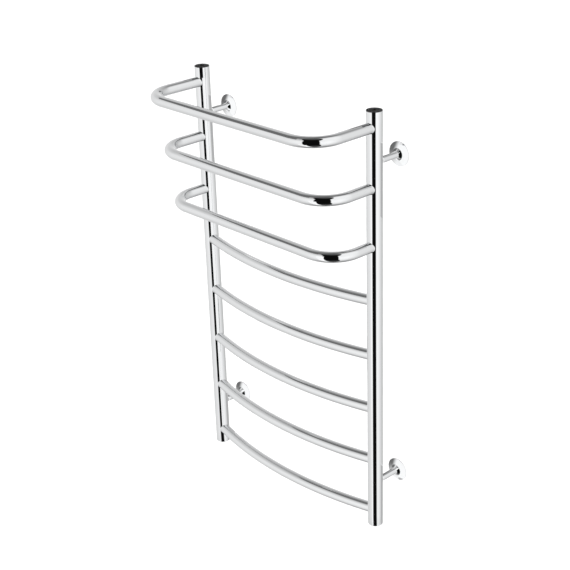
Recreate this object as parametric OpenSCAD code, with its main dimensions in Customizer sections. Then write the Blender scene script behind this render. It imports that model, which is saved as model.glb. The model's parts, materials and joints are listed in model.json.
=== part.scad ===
// Wall-hung towel warmer rack: a ladder of polished tubes that hot water runs through.
// X runs across the rack, -Y is the front, +Y is the wall and +Z is up.
// The origin is the middle of the four wall fixings, on the face of the wall.

/* [Posts] */
// Distance between the two post axes
post_spacing = 500; // [420:10:600]
// Height of the posts
rack_h = 914; // [905:1:960]
// Outside diameter of a post
post_d = 32; // [30:0.5:35]
// Wall thickness of a post
post_wall = 2; // [1.5:0.1:2]

/* [Rungs] */
// Outside diameter of a rung
rung_d = 22; // [18:0.5:23]
// Wall thickness of a rung
rung_wall = 1.5; // [1:0.1:2]

/* [Shelf rungs] */
// Height of the lowest shelf rung above the bottom of the posts
first_shelf_z = 642; // [600:1:645]
// Distance from one shelf rung to the next
shelf_pitch = 120; // [60:1:120]
// How far the top shelf rung stands in front of the post axes
shelf_depth_top = 158; // [140:1:200]
// How far the middle shelf rung stands in front of the post axes
shelf_depth_middle = 132; // [110:1:180]
// How far the bottom shelf rung stands in front of the post axes
shelf_depth_bottom = 114; // [100:1:160]
// Bend radius of the shelf rungs, at the tube's axis
shelf_bend_r = 62; // [40:1:75]

/* [Bowed rungs] */
// Height of the lowest bowed rung above the bottom of the posts
first_bow_z = 35; // [33:1:40]
// Distance from one bowed rung to the next
bow_pitch = 122; // [60:1:130]
// How far the middle of a bowed rung stands in front of the post axes
bow_depth = 36; // [20:1:60]

/* [Wall brackets] */
// Distance from the wall to the post axes
post_to_wall = 70; // [68:1:80]
// Distance from a bracket to the nearest end of its post
bracket_inset = 102; // [98:1:106]
// Outside diameter of the bracket sleeve
sleeve_d = 13; // [12.5:0.1:14]
// Bore of the bracket sleeve
sleeve_bore = 10; // [9:0.1:10.5]
// Outside diameter of the rosette
rosette_d = 50; // [46:1:60]
// Diameter of the conical hub of the rosette, at its foot
rosette_hub_d = 25; // [22:0.5:26]
// Height of the rosette at its hub
rosette_h = 11; // [10.5:0.1:12]
// Hole for the hanger bolt that holds a wall base
wall_bolt_d = 6.8; // [5:0.1:7]

/* [Water fittings] */
// Bore of the threaded water connections
connection_bore = 18.6; // [15:0.1:20]
// Length of a threaded water connection
connection_len = 15; // [12:1:15]
// Length of the threaded bush that holds an air vent
vent_bush_len = 14; // [12:1:14]
// Shank diameter of a bleed screw
bleed_d = 5; // [4:0.5:6]

/* [Hidden] */

$fn = 96;
bow_fn = 720;
steel = [0.86, 0.87, 0.89];
steel_dark = [0.62, 0.63, 0.65];
brass = [0.80, 0.68, 0.38];
gasket_black = [0.10, 0.10, 0.10];
nylon_black = [0.06, 0.06, 0.06];

// Sides and heights of the places that repeat
left = -1;
right = 1;
upper = 1;
lower = -1;
post_y = -post_to_wall;
bracket_z = rack_h / 2 - bracket_inset;
post_bore = post_d - 2 * post_wall;
rung_bore = rung_d - 2 * rung_wall;
half_spacing = post_spacing / 2;
bow_count = 5;
shelf_count = 3;

// Small distances that keep cuts clean and sliding pieces free
cut = 1;
cut_angle = 0.1;
slide_gap = 0.05;
loose_gap = 0.3;

// Rim of the post tube
rim_chamfer = 0.5;

// Air vent: a plug whose lip covers the rim of the post
vent_lip_gap = 0.1;
vent_lip_h = 0.9;
vent_lip_r = post_d / 2 - 0.2;
vent_lip_chamfer = 0.4;
vent_flange_h = 4.8;
vent_flange_r = post_bore / 2 - loose_gap;
vent_thread_len = 11;
gasket_h = 1.5;
vent_lip_foot = rack_h / 2 + vent_lip_gap;
vent_top = vent_lip_foot + vent_lip_h;
gasket_top = rack_h / 2 - vent_flange_h;
vent_bush_top = gasket_top - gasket_h;
vent_seat_h = 2.5;
vent_seat_r = 1.2;
vent_drip_r = 1;
spanner_hole_r = 1;
spanner_hole_h = 2;
spanner_hole_at = 9;

// Bleed screw, in a counterbore of the vent plug
bleed_head_r = 3.8;
bleed_head_h = 2.4;
bleed_well_r = 4.2;
bleed_well_h = 4;
bleed_slot_w = 1.2;
bleed_slot_h = 1.3;
bleed_tip_h = 2;

// Water connection, just inside the bottom of the post
connection_recess = 0.5;
connection_chamfer = 1;

// Wall base and its spigot
base_flange_r = 17;
base_flange_h = 2.5;
spigot_r = sleeve_bore / 2 - slide_gap;
spigot_len = post_to_wall - post_d / 2 - 2;
sleeve_end = 3.5;

// Grub screw, on the underside of the sleeve
grub_r = 2;
grub_to_post = 32;
grub_proud = 0.4;
grub_socket_r = 1.15;
grub_socket_h = 1.6;

// Rosette
rosette_rim_h = 1.6;
rosette_wall = 1.2;
rosette_hub_h = 5;
rosette_hub_top_r = 7.6;
rosette_hub_bevel = 0.4;
rosette_bore_r = sleeve_d / 2 + slide_gap;
dome_top_r = rosette_hub_d / 2;
dome_power = 1.35;
dome_rise = rosette_h - rosette_hub_h - rosette_rim_h;

// Height of shelf rung number n, counted from 0 at the bottom
function shelf_z(n) = -rack_h / 2 + first_shelf_z + n * shelf_pitch;

// Height of bowed rung number n, counted from 0 at the bottom
function bow_z(n) = -rack_h / 2 + first_bow_z + n * bow_pitch;

// Radius of a circle through both ends and the middle of a bow
function bow_radius(span, depth) = (span * span / 4 + depth * depth) / (2 * depth);

bow_r = bow_radius(post_spacing, bow_depth);
bow_half_angle = asin(half_spacing / bow_r);

// ---------------------------------------------------------------- frame

// Solid bar along the route of a shelf rung, from one post axis to the other
module shelf_bar(depth, d) {
    leg = depth - shelf_bend_r;
    straight = post_spacing - 2 * shelf_bend_r;
    for (side = [left, right]) {
        translate([side * half_spacing, 0, 0])
            rotate([90, 0, 0])
                cylinder(d = d, h = leg);
        translate([side * (half_spacing - shelf_bend_r), -leg, 0])
            rotate([0, 0, side == left ? 180 : 270])
                rotate_extrude(angle = 90)
                    translate([shelf_bend_r, 0])
                        circle(d = d);
    }
    translate([-straight / 2, -depth, 0])
        rotate([0, 90, 0])
            cylinder(d = d, h = straight);
}

// Solid bar along the arc of a bowed rung, over the given angle to each side
module bow_bar(d, half_angle) {
    translate([0, bow_r - bow_depth, 0])
        rotate([0, 0, 270 - half_angle])
            rotate_extrude(angle = 2 * half_angle, $fn = bow_fn)
                translate([bow_r, 0])
                    circle(d = d);
}

// Solid bars that cut out a post, seen from the post's own axis
module post_column(d) {
    for (side = [left, right])
        translate([side * half_spacing, 0, -rung_d])
            cylinder(d = d, h = 2 * rung_d);
}

// Hollow shelf rung, cut to sit on the posts
module shelf_rung(n, depth) {
    color(steel)
        translate([0, post_y, shelf_z(n)])
            difference() {
                shelf_bar(depth, rung_d);
                shelf_bar(depth, rung_bore);
                post_column(post_d);
            }
}

// Hollow bowed rung, cut to sit on the posts
module bow_rung(n) {
    color(steel)
        translate([0, post_y, bow_z(n)])
            difference() {
                bow_bar(rung_d, bow_half_angle);
                bow_bar(rung_bore, bow_half_angle + cut_angle);
                post_column(post_d);
            }
}

// Vertical tube with chamfered rims and a water passage at every rung
module post(side) {
    color(steel)
        translate([0, post_y, 0])
            difference() {
                translate([side * half_spacing, 0, 0])
                    rotate_extrude()
                        post_wall_profile();
                for (n = [0:bow_count - 1])
                    translate([0, 0, bow_z(n)])
                        bow_bar(rung_bore, bow_half_angle);
                for (n = [0:shelf_count - 1])
                    translate([side * half_spacing, 0, shelf_z(n)])
                        rotate([90, 0, 0])
                            cylinder(d = rung_bore, h = post_d);
            }
}

// Section through the wall of a post
module post_wall_profile() {
    outer = post_d / 2;
    inner = post_bore / 2;
    end = rack_h / 2;
    polygon([
        [inner, -end],
        [outer - rim_chamfer, -end],
        [outer, -end + rim_chamfer],
        [outer, end - rim_chamfer],
        [outer - rim_chamfer, end],
        [inner, end]
    ]);
}

// ---------------------------------------------------------------- water fittings

// Threaded ring, welded inside the bottom of a post
module connection(side) {
    z = -rack_h / 2 + connection_recess;
    outer = post_bore / 2;
    inner = connection_bore / 2;
    color(steel_dark)
        translate([side * half_spacing, post_y, z])
            rotate_extrude()
                polygon([
                    [inner + connection_chamfer, 0],
                    [outer, 0],
                    [outer, connection_len],
                    [inner, connection_len],
                    [inner, connection_chamfer]
                ]);
}

// Threaded ring, welded inside the top of a post
module vent_bush(side) {
    color(steel_dark)
        translate([side * half_spacing, post_y, vent_bush_top - vent_bush_len])
            difference() {
                cylinder(d = post_bore, h = vent_bush_len);
                translate([0, 0, -cut])
                    cylinder(d = connection_bore, h = vent_bush_len + 2 * cut);
            }
}

// Flat sealing ring under the flange of the vent plug
module vent_gasket(side) {
    color(gasket_black)
        translate([side * half_spacing, post_y, vent_bush_top])
            difference() {
                cylinder(r = vent_flange_r - loose_gap, h = gasket_h);
                translate([0, 0, -cut])
                    cylinder(r = connection_bore / 2 + loose_gap, h = gasket_h + 2 * cut);
            }
}

// Screwed plug whose lip covers the rim, with a well for the bleed screw and two holes for a pin spanner
module vent_plug(side) {
    thread_r = connection_bore / 2;
    shank_r = bleed_d / 2 + slide_gap;
    foot = gasket_top - vent_thread_len;
    well = vent_top - bleed_well_h;
    seat = foot + vent_seat_h;
    color(nylon_black)
        translate([side * half_spacing, post_y, 0])
            difference() {
                rotate_extrude()
                    polygon([
                        [vent_drip_r, foot],
                        [thread_r, foot],
                        [thread_r, gasket_top],
                        [vent_flange_r, gasket_top],
                        [vent_flange_r, vent_lip_foot],
                        [vent_lip_r, vent_lip_foot],
                        [vent_lip_r, vent_top - vent_lip_chamfer],
                        [vent_lip_r - vent_lip_chamfer, vent_top],
                        [bleed_well_r, vent_top],
                        [bleed_well_r, well],
                        [shank_r, well],
                        [shank_r, seat],
                        [vent_drip_r, seat]
                    ]);
                for (way = [left, right])
                    translate([way * spanner_hole_at, 0, vent_top - spanner_hole_h])
                        cylinder(r = spanner_hole_r, h = spanner_hole_h + cut);
            }
}

// Slotted screw that lets trapped air out
module bleed_screw(side) {
    well = vent_top - bleed_well_h;
    head_foot = well + loose_gap;
    seat = gasket_top - vent_thread_len + vent_seat_h;
    tip = seat + loose_gap;
    color(brass)
        translate([side * half_spacing, post_y, 0])
            difference() {
                union() {
                    translate([0, 0, head_foot])
                        cylinder(r = bleed_head_r, h = bleed_head_h);
                    translate([0, 0, tip + bleed_tip_h])
                        cylinder(d = bleed_d, h = head_foot - tip - bleed_tip_h);
                    translate([0, 0, tip])
                        cylinder(r1 = vent_seat_r, r2 = bleed_d / 2, h = bleed_tip_h);
                }
                translate([0, 0, head_foot + bleed_head_h - bleed_slot_h / 2 + cut / 2])
                    cube([4 * bleed_head_r, bleed_slot_w, bleed_slot_h + cut], center = true);
            }
}

// ---------------------------------------------------------------- wall brackets

// Puts a bracket piece, drawn from the wall towards the front along +Z, in its place
module at_bracket(side, level) {
    translate([side * half_spacing, 0, level * bracket_z])
        rotate([90, 0, 0])
            children();
}

// Tube welded to the back of a post, which slides over the spigot
module sleeve(side, level) {
    grub_at = post_to_wall - grub_to_post;
    color(steel)
        at_bracket(side, level)
            difference() {
                translate([0, 0, sleeve_end])
                    cylinder(d = sleeve_d, h = post_to_wall - sleeve_end);
                translate([0, 0, sleeve_end - cut])
                    cylinder(d = sleeve_bore, h = post_to_wall);
                translate([0, 0, post_to_wall])
                    rotate([90, 0, 0])
                        cylinder(d = post_d, h = 2 * sleeve_d, center = true);
                translate([0, 0, grub_at])
                    rotate([90, 0, 0])
                        cylinder(r = grub_r, h = sleeve_d);
            }
}

// Socket screw that locks the sleeve on the spigot
module grub_screw(side, level) {
    grub_at = post_to_wall - grub_to_post;
    inner = spigot_r + loose_gap;
    outer = sleeve_d / 2 + grub_proud;
    color(steel_dark)
        at_bracket(side, level)
            translate([0, 0, grub_at])
                rotate([90, 0, 0])
                    difference() {
                        translate([0, 0, inner])
                            cylinder(r = grub_r, h = outer - inner);
                        translate([0, 0, outer - grub_socket_h / 2 + cut / 2])
                            cylinder(r = grub_socket_r, h = grub_socket_h + cut, center = true, $fn = 6);
                    }
}

// Flange on the wall with a threaded spigot
module wall_base(side, level) {
    color(steel_dark)
        at_bracket(side, level)
            difference() {
                union() {
                    cylinder(r = base_flange_r, h = base_flange_h);
                    cylinder(r = spigot_r, h = spigot_len);
                }
                translate([0, 0, -cut])
                    cylinder(d = wall_bolt_d, h = spigot_len + 2 * cut);
            }
}

// Domed cover with a conical hub, sliding on the sleeve
module rosette(side, level) {
    color(steel)
        at_bracket(side, level)
            rotate_extrude()
                rosette_profile();
}

// Height of the dome above its rim, at a distance r from the axis
function dome_z(r) =
    rosette_rim_h + dome_rise * (1 - pow((r - dome_top_r) / (rosette_d / 2 - dome_top_r), dome_power));

// Section through the thin shell and its hub
module rosette_profile() {
    rim_r = rosette_d / 2;
    steps = 12;
    hub_r = dome_top_r;
    hub_foot = rosette_h - rosette_hub_h;
    outer_dome = [for (i = [0:steps]) let (r = rim_r + (hub_r - rim_r) * i / steps) [r, dome_z(r)]];
    cone = [
        [rosette_hub_top_r, rosette_h - rosette_hub_bevel],
        [rosette_hub_top_r - rosette_hub_bevel, rosette_h]
    ];
    inner_rim = rim_r - rosette_wall;
    inner_dome = [
        for (i = [0:steps])
            let (r = hub_r + (inner_rim - hub_r) * i / steps)
            [r, dome_z(r + rosette_wall / 2) - rosette_wall]
    ];
    polygon(concat(
        [[rim_r, 0]],
        outer_dome,
        cone,
        [[rosette_bore_r, rosette_h], [rosette_bore_r, hub_foot - rosette_wall]],
        inner_dome,
        [[inner_rim, 0]]
    ));
}

// ---------------------------------------------------------------- one line per node

post(left);  // post_left
post(right);  // post_right
shelf_rung(2, shelf_depth_top);  // shelf_rung_top
shelf_rung(1, shelf_depth_middle);  // shelf_rung_middle
shelf_rung(0, shelf_depth_bottom);  // shelf_rung_bottom
bow_rung(4);  // bow_rung_1
bow_rung(3);  // bow_rung_2
bow_rung(2);  // bow_rung_3
bow_rung(1);  // bow_rung_4
bow_rung(0);  // bow_rung_5
connection(left);  // connection_left
connection(right);  // connection_right
vent_bush(left);  // vent_bush_left
vent_bush(right);  // vent_bush_right
vent_gasket(left);  // vent_gasket_left
vent_gasket(right);  // vent_gasket_right
vent_plug(left);  // vent_plug_left
vent_plug(right);  // vent_plug_right
bleed_screw(left);  // bleed_screw_left
bleed_screw(right);  // bleed_screw_right
sleeve(left, upper);  // sleeve_upper_left
sleeve(right, upper);  // sleeve_upper_right
sleeve(left, lower);  // sleeve_lower_left
sleeve(right, lower);  // sleeve_lower_right
grub_screw(left, upper);  // grub_screw_upper_left
grub_screw(right, upper);  // grub_screw_upper_right
grub_screw(left, lower);  // grub_screw_lower_left
grub_screw(right, lower);  // grub_screw_lower_right
wall_base(left, upper);  // wall_base_upper_left
wall_base(right, upper);  // wall_base_upper_right
wall_base(left, lower);  // wall_base_lower_left
wall_base(right, lower);  // wall_base_lower_right
rosette(left, upper);  // rosette_upper_left
rosette(right, upper);  // rosette_upper_right
rosette(left, lower);  // rosette_lower_left
rosette(right, lower);  // rosette_lower_right
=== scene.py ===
# %% [markdown]
# # A towel warmer rack in mirror-polished steel
#
# The real object is a ladder of steel tubes that hot water runs through. Two upright posts carry five bowed
# rungs and, above them, three rungs that reach forward like shelves. Four short sleeves hold it off the wall,
# and each sleeve passes through a round rosette.
#
# The frame that this script loads holds every part at its true size and place. It is made of loose triangles,
# which is fine for a dull surface. A mirror shows every edge of every triangle, so each visible part is built
# again here as a smooth surface of the same size.

import json
import math

import bmesh
import bpy
import numpy as np
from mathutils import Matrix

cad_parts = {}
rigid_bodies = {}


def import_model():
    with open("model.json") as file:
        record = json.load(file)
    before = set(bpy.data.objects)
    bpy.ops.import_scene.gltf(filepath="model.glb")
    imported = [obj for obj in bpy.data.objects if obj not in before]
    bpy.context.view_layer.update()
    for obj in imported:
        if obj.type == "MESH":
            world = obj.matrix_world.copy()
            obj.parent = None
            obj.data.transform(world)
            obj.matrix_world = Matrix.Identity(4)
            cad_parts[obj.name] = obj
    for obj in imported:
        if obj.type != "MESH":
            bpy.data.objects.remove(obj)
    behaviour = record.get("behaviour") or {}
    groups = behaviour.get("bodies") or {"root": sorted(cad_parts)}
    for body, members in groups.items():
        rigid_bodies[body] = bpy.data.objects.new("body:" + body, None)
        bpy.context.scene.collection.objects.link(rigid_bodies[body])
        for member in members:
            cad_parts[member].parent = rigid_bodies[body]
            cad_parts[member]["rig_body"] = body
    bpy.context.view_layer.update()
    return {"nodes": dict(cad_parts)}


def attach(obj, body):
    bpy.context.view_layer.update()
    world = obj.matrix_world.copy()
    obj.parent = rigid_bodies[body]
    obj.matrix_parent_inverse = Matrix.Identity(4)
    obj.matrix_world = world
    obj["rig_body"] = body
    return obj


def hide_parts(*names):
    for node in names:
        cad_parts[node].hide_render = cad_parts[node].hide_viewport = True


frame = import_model()
print("parts in the frame:", len(frame["nodes"]))

# %% [markdown]
# ## Sizes
#
# Everything is worked out in millimetres, because tubes are sold in millimetres. Blender counts in metres, so
# each surface is scaled once, when it becomes a mesh. X runs across the rack, -Y is the front and +Z is up.
# The origin is on the wall, in the middle of the four fixings.

# %% Sizes in millimetres
MM = 0.001
SIDES = {"left": -1, "right": 1}
LEVELS = {"upper": 1, "lower": -1}

HALF_HEIGHT = 457.0
HALF_SPACING = 250.0
POST_Y = -70.0
POST_R, POST_BORE_R = 16.0, 14.0
RUNG_R, RUNG_BORE_R = 11.0, 9.5
BRACKET_Z = 355.0
TURN = 2 * math.pi
UP = np.array([0.0, 0.0, 1.0])
print("height", 2 * HALF_HEIGHT, "mm, post spacing", 2 * HALF_SPACING, "mm")

# %% [markdown]
# ## From a grid of points to a mesh
#
# Every piece of this object can be drawn as a grid: rows that follow one another along the piece, and in each
# row a ring of points that goes round it. Blender's Spin and Curve tools could also make tubes. A grid worked
# out with numpy gives exact radii, exact joints and clean rows of quads, which is what a mirror needs.
#
# Two things are easy to get wrong, so the helper does them for every piece. Faces have to point outwards,
# which the signed volume tells: it is negative if the shape is inside out. And a ring that shrinks to a point,
# as at the tip of a screw, has to become one vertex.


# %% A grid becomes a mesh
def quads_of(grid, wrap):
    """Vertex numbers of the quads between neighbouring rings, and which row and column each corner is on.
    Quad (i, j) joins points (i, j), (i, j + 1), (i + 1, j + 1) and (i + 1, j); the last point of a ring is
    joined to its first, and with wrap the last ring is joined to the first ring."""
    rows, ring = grid.shape[:2]
    row = np.arange(rows if wrap else rows - 1)[:, None, None]
    column = np.arange(ring)[None, :, None]
    row = row + np.array([0, 0, 1, 1])
    column = column + np.array([0, 1, 1, 0])
    row, column = np.broadcast_arrays(row, column)
    number = (row % rows) * ring + column % ring
    return number.reshape(-1, 4), row.reshape(-1, 4), column.reshape(-1, 4)


def signed_volume(points, quads):
    """Volume inside the quads: the sum over their triangles of a . (b x c) / 6. It is negative if they face inwards."""
    a, b, c, d = (points[quads[:, k]] for k in range(4))
    both = np.cross(b, c) + np.cross(c, d)
    return float(np.einsum("ij,ij->", a, both)) / 6


def mesh_of(name, grid, wrap=True):
    """Mesh of a closed surface. Its UV map runs round the piece in U and along its rows in V, both in metres."""
    grid = np.asarray(grid, float) * MM
    quads, row, column = quads_of(grid, wrap)
    points = grid.reshape(-1, 3)
    if signed_volume(points, quads) < 0:
        quads, row, column = quads[:, ::-1], row[:, ::-1], column[:, ::-1]
    closed = np.concatenate([grid, grid[:1]]) if wrap else grid
    step = np.linalg.norm(np.diff(closed, axis=0), axis=2).mean(1)
    along = np.concatenate([[0], np.cumsum(step)])
    width = np.linalg.norm(np.diff(grid, axis=1, append=grid[:, :1]), axis=2).sum(1).max()
    uv = np.stack([column / grid.shape[1] * width, along[row]], -1)

    mesh = bpy.data.meshes.new(name)
    mesh.from_pydata(points.tolist(), [], quads.tolist())
    mesh.uv_layers.new(name="surface").data.foreach_set("uv", uv.astype(np.float32).ravel())
    build = bmesh.new()
    build.from_mesh(mesh)
    bmesh.ops.remove_doubles(build, verts=build.verts, dist=1e-7)
    build.to_mesh(mesh)
    build.free()
    return mesh


# %% [markdown]
# ## Putting a piece in place
#
# A finished piece stands for one part of the frame, moves with the same body, and has one finish. Long smooth
# surfaces are shaded smooth, and an edge sharper than 35 degrees stays crisp. The posts and what closes them
# show in the other pieces' reflections. The rungs don't, so that the posts' long stripes stay clean.

# %% A mesh becomes a piece
CREASE = math.radians(35)
MIRRORED = ("post", "vent", "bleed")
body_of_part = {n: o["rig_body"] for n, o in frame["nodes"].items()}
made = {}


def place(part, mesh, finish):
    """Adds the mesh as the piece that stands for a part of the frame, with its finish and its body."""
    material, slot = finish
    mesh.name = part + "_surface"
    mesh.materials.clear()
    mesh.materials.append(material)
    mesh.polygons.foreach_set("use_smooth", np.ones(len(mesh.polygons), bool))
    mesh.set_sharp_from_angle(angle=CREASE)
    piece = bpy.data.objects.new("finished_" + part, mesh)
    bpy.context.scene.collection.objects.link(piece)
    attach(piece, body_of_part[part])
    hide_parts(part)
    piece.visible_glossy = part.startswith(MIRRORED)
    made[part] = len(mesh.polygons)
    return piece


# %% [markdown]
# ## Drilling and slotting
#
# A turned screw or a tube becomes a slotted screw or a drilled tube when a cutter is taken away from it, as in
# the workshop. Building such holes into the grid would bend its rows, so a Boolean does it: both shapes are
# closed, and the exact solver leaves a closed shape.


# %% A Boolean that cuts and tidies up
def cut_away(mesh, cutters):
    """The mesh with each closed cutter mesh taken away from it."""
    work = bpy.data.objects.new("work", mesh)
    bpy.context.scene.collection.objects.link(work)
    tools = []
    for cutter in cutters:
        tool = bpy.data.objects.new("tool", cutter)
        bpy.context.scene.collection.objects.link(tool)
        step = work.modifiers.new("cut", "BOOLEAN")
        step.operation, step.solver, step.object = "DIFFERENCE", "EXACT", tool
        tools.append(tool)
    seen = work.evaluated_get(bpy.context.evaluated_depsgraph_get())
    result = bpy.data.meshes.new_from_object(seen)
    for spare in [work] + tools:
        bpy.data.objects.remove(spare)
    return result


# %% [markdown]
# ## Turned pieces
#
# Posts, rosettes, plugs, rings and screws are all turned: a profile of radius and height goes round an axis.
# A profile that comes back to where it started gives a ring or a pipe with no ends to close.


# %% A profile goes round an axis
def frame_along(axis):
    """Two unit vectors at right angles to the axis and to each other."""
    axis = np.asarray(axis, float)
    first = np.cross(axis, UP)
    if np.linalg.norm(first) < 1e-9:
        first = np.array([1.0, 0.0, 0.0])
    first = first / np.linalg.norm(first)
    return first, np.cross(axis, first)


def turned(profile, foot, axis=(0, 0, 1), around=128):
    """Points of a turned surface: foot + r (cos t first + sin t second) + h axis, for each (r, h) of the profile."""
    profile = np.asarray(profile, float)
    t = np.arange(around) / around * TURN
    first, second = frame_along(axis)
    spoke = np.cos(t)[:, None] * first + np.sin(t)[:, None] * second
    reach = profile[:, 0, None, None] * spoke[None]
    rise = profile[:, 1, None, None] * np.asarray(axis, float)
    return np.asarray(foot, float) + reach + rise


def corner(centre, radius, start, end, steps=5):
    """Points on a quarter round of the profile: centre + radius (cos a, sin a), with a from start to end in degrees."""
    a = np.radians(np.linspace(start, end, steps))
    return np.column_stack([centre[0] + radius * np.cos(a), centre[1] + radius * np.sin(a)])


# %% [markdown]
# ## Node trees in one helper
#
# A material is a small network. One function adds a node, sets its options and fills its sockets: a socket
# takes either a value or the output of another node. Colours are written as screen values in hex and turned
# into the linear values that the renderer works in.


# %% One helper for every node, one for every colour
def add(tree, kind, options=None, **sockets):
    """Adds a node to the tree. Socket names are written with _ for a space; a value is set, an output is linked."""
    new = tree.nodes.new(kind)
    for name, value in (options or {}).items():
        setattr(new, name, value)
    for name, value in sockets.items():
        key = int(name[2:]) if name.startswith("in") and name[2:].isdigit() else name.replace("_", " ")
        if isinstance(value, bpy.types.NodeSocket):
            tree.links.new(value, new.inputs[key])
        else:
            new.inputs[key].default_value = value
    return new


def linear(screen):
    """A screen value from 0 to 1 as linear light: ((s + 0.055) / 1.055) ^ 2.4, or s / 12.92 near black."""
    return screen / 12.92 if screen <= 0.04045 else ((screen + 0.055) / 1.055) ** 2.4


def colour(hex_value):
    """An sRGB hex colour such as #C8CACC as linear red, green, blue and an alpha of 1."""
    parts = [int(hex_value[k : k + 2], 16) / 255 for k in (1, 3, 5)]
    return tuple(linear(p) for p in parts) + (1.0,)


def new_material(name):
    """An empty material and its tree."""
    material = bpy.data.materials.new(name)
    material.use_nodes = True
    material.node_tree.nodes.clear()
    return material, material.node_tree


# %% [markdown]
# ## Finish: mirror-polished stainless steel
#
# The tubes are welded, ground and buffed until they mirror the room. To the eye that is a neutral grey-white
# metal with almost no colour, sharp reflections and a very slight waviness left by the buffing wheel. So the
# colour is even, the roughness is close to 0.03 with faint hazy patches, and a low bump of about 20 mm
# wavelength bends the reflections a little.

# %% Mirror-polished stainless steel
STEEL_TONE = "#DCDDDE"
WAVE_MM = 22.0
WAVE_HEIGHT_MM = 0.006
HAZE_MM = 60.0


def mirror_steel():
    """Metal whose roughness drifts between two low values and whose surface waves by a few microns."""
    material, tree = new_material("mirror_polished_stainless_steel")
    place_on = add(tree, "ShaderNodeTexCoord").outputs["Object"]
    haze = add(tree, "ShaderNodeTexNoise", Vector=place_on, Scale=1 / (HAZE_MM * MM), Detail=3.0)
    rough = add(
        tree, "ShaderNodeMapRange", Value=haze.outputs["Fac"], From_Min=0.35, From_Max=0.7, To_Min=0.025, To_Max=0.05
    )
    wave = add(tree, "ShaderNodeTexNoise", Vector=place_on, Scale=1 / (WAVE_MM * MM), Detail=1.0)
    bump = add(tree, "ShaderNodeBump", Height=wave.outputs["Fac"], Strength=1.0, Distance=WAVE_HEIGHT_MM * MM)
    metal = add(
        tree,
        "ShaderNodeBsdfPrincipled",
        Base_Color=colour(STEEL_TONE),
        Metallic=1.0,
        Roughness=rough.outputs["Result"],
        Normal=bump.outputs["Normal"],
    )
    add(tree, "ShaderNodeOutputMaterial", Surface=metal.outputs["BSDF"])
    return material


POLISHED = (mirror_steel(), "polished_steel")
print("finish:", POLISHED[0].name)

# %% [markdown]
# ## Finish: steel as it leaves the lathe
#
# Threaded rings, wall bases and grub screws are turned and left plain. The tool leaves fine grooves round the
# piece, about a quarter of a millimetre apart, which blur the light across them. The UV map runs along the
# profile in V, so bands in V are grooves in the right direction on every face.

# %% Turned stainless steel
GROOVE_MM = 0.25
BAND_UNIT = TURN / 20  # a Wave texture of scale 1 has a band this wide


def lathe_steel():
    """Greyer metal with grooves round the axis and a soft, broken shine."""
    material, tree = new_material("turned_stainless_steel")
    surface = add(tree, "ShaderNodeTexCoord").outputs["UV"]
    groove = add(
        tree,
        "ShaderNodeTexWave",
        {"wave_type": "BANDS", "bands_direction": "Y", "wave_profile": "SIN"},
        Vector=surface,
        Scale=BAND_UNIT / (GROOVE_MM * MM),
        Distortion=0.6,
        Detail=1.0,
    )
    stain = add(tree, "ShaderNodeTexNoise", Vector=surface, Scale=1 / (4 * MM), Detail=4.0)
    rough = add(
        tree, "ShaderNodeMapRange", Value=stain.outputs["Fac"], From_Min=0.3, From_Max=0.7, To_Min=0.24, To_Max=0.38
    )
    bump = add(tree, "ShaderNodeBump", Height=groove.outputs["Fac"], Strength=0.5, Distance=0.01 * MM)
    metal = add(
        tree,
        "ShaderNodeBsdfPrincipled",
        Base_Color=colour("#B9BBBE"),
        Metallic=1.0,
        Roughness=rough.outputs["Result"],
        Normal=bump.outputs["Normal"],
    )
    add(tree, "ShaderNodeOutputMaterial", Surface=metal.outputs["BSDF"])
    return material


TURNED = (lathe_steel(), "plain_steel")
print("finish:", TURNED[0].name)

# %% [markdown]
# ## Finish: nickel-washed brass
#
# The bleed screws are brass with a thin wash of nickel, which leaves a pale straw metal. It is duller where
# the coating is thin, so the colour drifts between two close tones.

# %% Nickel-washed brass


def washed_brass():
    """Pale brass with patches where more of the yellow shows."""
    material, tree = new_material("nickel_washed_brass")
    place_on = add(tree, "ShaderNodeTexCoord").outputs["Object"]
    patch = add(tree, "ShaderNodeTexNoise", Vector=place_on, Scale=1 / (2.5 * MM), Detail=3.0)
    tone = add(
        tree,
        "ShaderNodeMix",
        {"data_type": "RGBA"},
        Factor=patch.outputs["Fac"],
        in6=colour("#D8CFB4"),
        in7=colour("#C6B27C"),
    )
    rough = add(
        tree, "ShaderNodeMapRange", Value=patch.outputs["Fac"], From_Min=0.3, From_Max=0.7, To_Min=0.16, To_Max=0.3
    )
    metal = add(
        tree,
        "ShaderNodeBsdfPrincipled",
        Base_Color=tone.outputs[2],
        Metallic=1.0,
        Roughness=rough.outputs["Result"],
    )
    add(tree, "ShaderNodeOutputMaterial", Surface=metal.outputs["BSDF"])
    return material


BRASS = (washed_brass(), "brass")
print("finish:", BRASS[0].name)

# %% [markdown]
# ## Finish: sealing rubber
#
# A moulded black ring. Rubber is never quite black: it is a dark grey with a dull skin and a fine grain.

# %% Moulded black rubber


def moulded_rubber():
    """Dark matte rubber with a fine grain."""
    material, tree = new_material("moulded_black_rubber")
    place_on = add(tree, "ShaderNodeTexCoord").outputs["Object"]
    grain = add(tree, "ShaderNodeTexNoise", Vector=place_on, Scale=1 / (0.5 * MM), Detail=2.0)
    bump = add(tree, "ShaderNodeBump", Height=grain.outputs["Fac"], Strength=0.4, Distance=0.03 * MM)
    skin = add(
        tree,
        "ShaderNodeBsdfPrincipled",
        Base_Color=colour("#1C1C1D"),
        Roughness=0.62,
        IOR=1.52,
        Normal=bump.outputs["Normal"],
    )
    add(tree, "ShaderNodeOutputMaterial", Surface=skin.outputs["BSDF"])
    return material


RUBBER = (moulded_rubber(), "gasket_rubber")
print("finish:", RUBBER[0].name)

# %% [markdown]
# ## Finish: moulded black nylon
#
# The plugs that close the posts are moulded from nylon filled with glass fibre, dyed black. The mould leaves a
# half-gloss skin with a very fine ripple, and the fibres make its roughness slightly uneven.

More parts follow.
